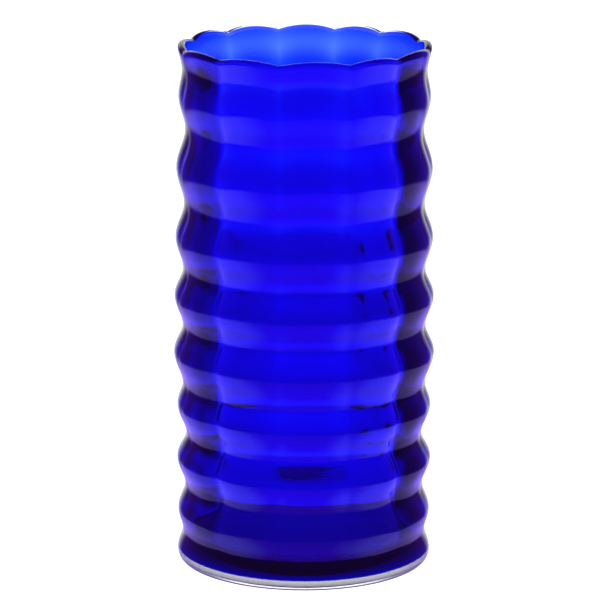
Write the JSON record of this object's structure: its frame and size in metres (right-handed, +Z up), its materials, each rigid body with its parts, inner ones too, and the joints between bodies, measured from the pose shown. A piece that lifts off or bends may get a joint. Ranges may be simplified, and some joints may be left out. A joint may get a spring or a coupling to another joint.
{
  "type": "cylinder vase",
  "caption": "Wide-mouthed cylinder vase of cased glass, cobalt blue inside clear, with level ripples, upright panels, a scalloped rim and a thick clear base.",
  "frame": {"origin": "middle of the flat underside", "axes": "+Z up along the vase's axis to the rim, -Y towards the side that faces the viewer, +X to that viewer's right"},
  "size_m": [0.1253, 0.1254, 0.252],
  "materials": {
    "clear_glass": "clear, smooth, fire polished, with a ground satin ring round the flat underside",
    "cobalt_glass": "transparent deep cobalt blue, smooth, fire polished"
  },
  "bodies": {
    "root": {"clear_casing": "clear_glass", "cobalt_lining": "cobalt_glass"}
  },
  "joints": []
}
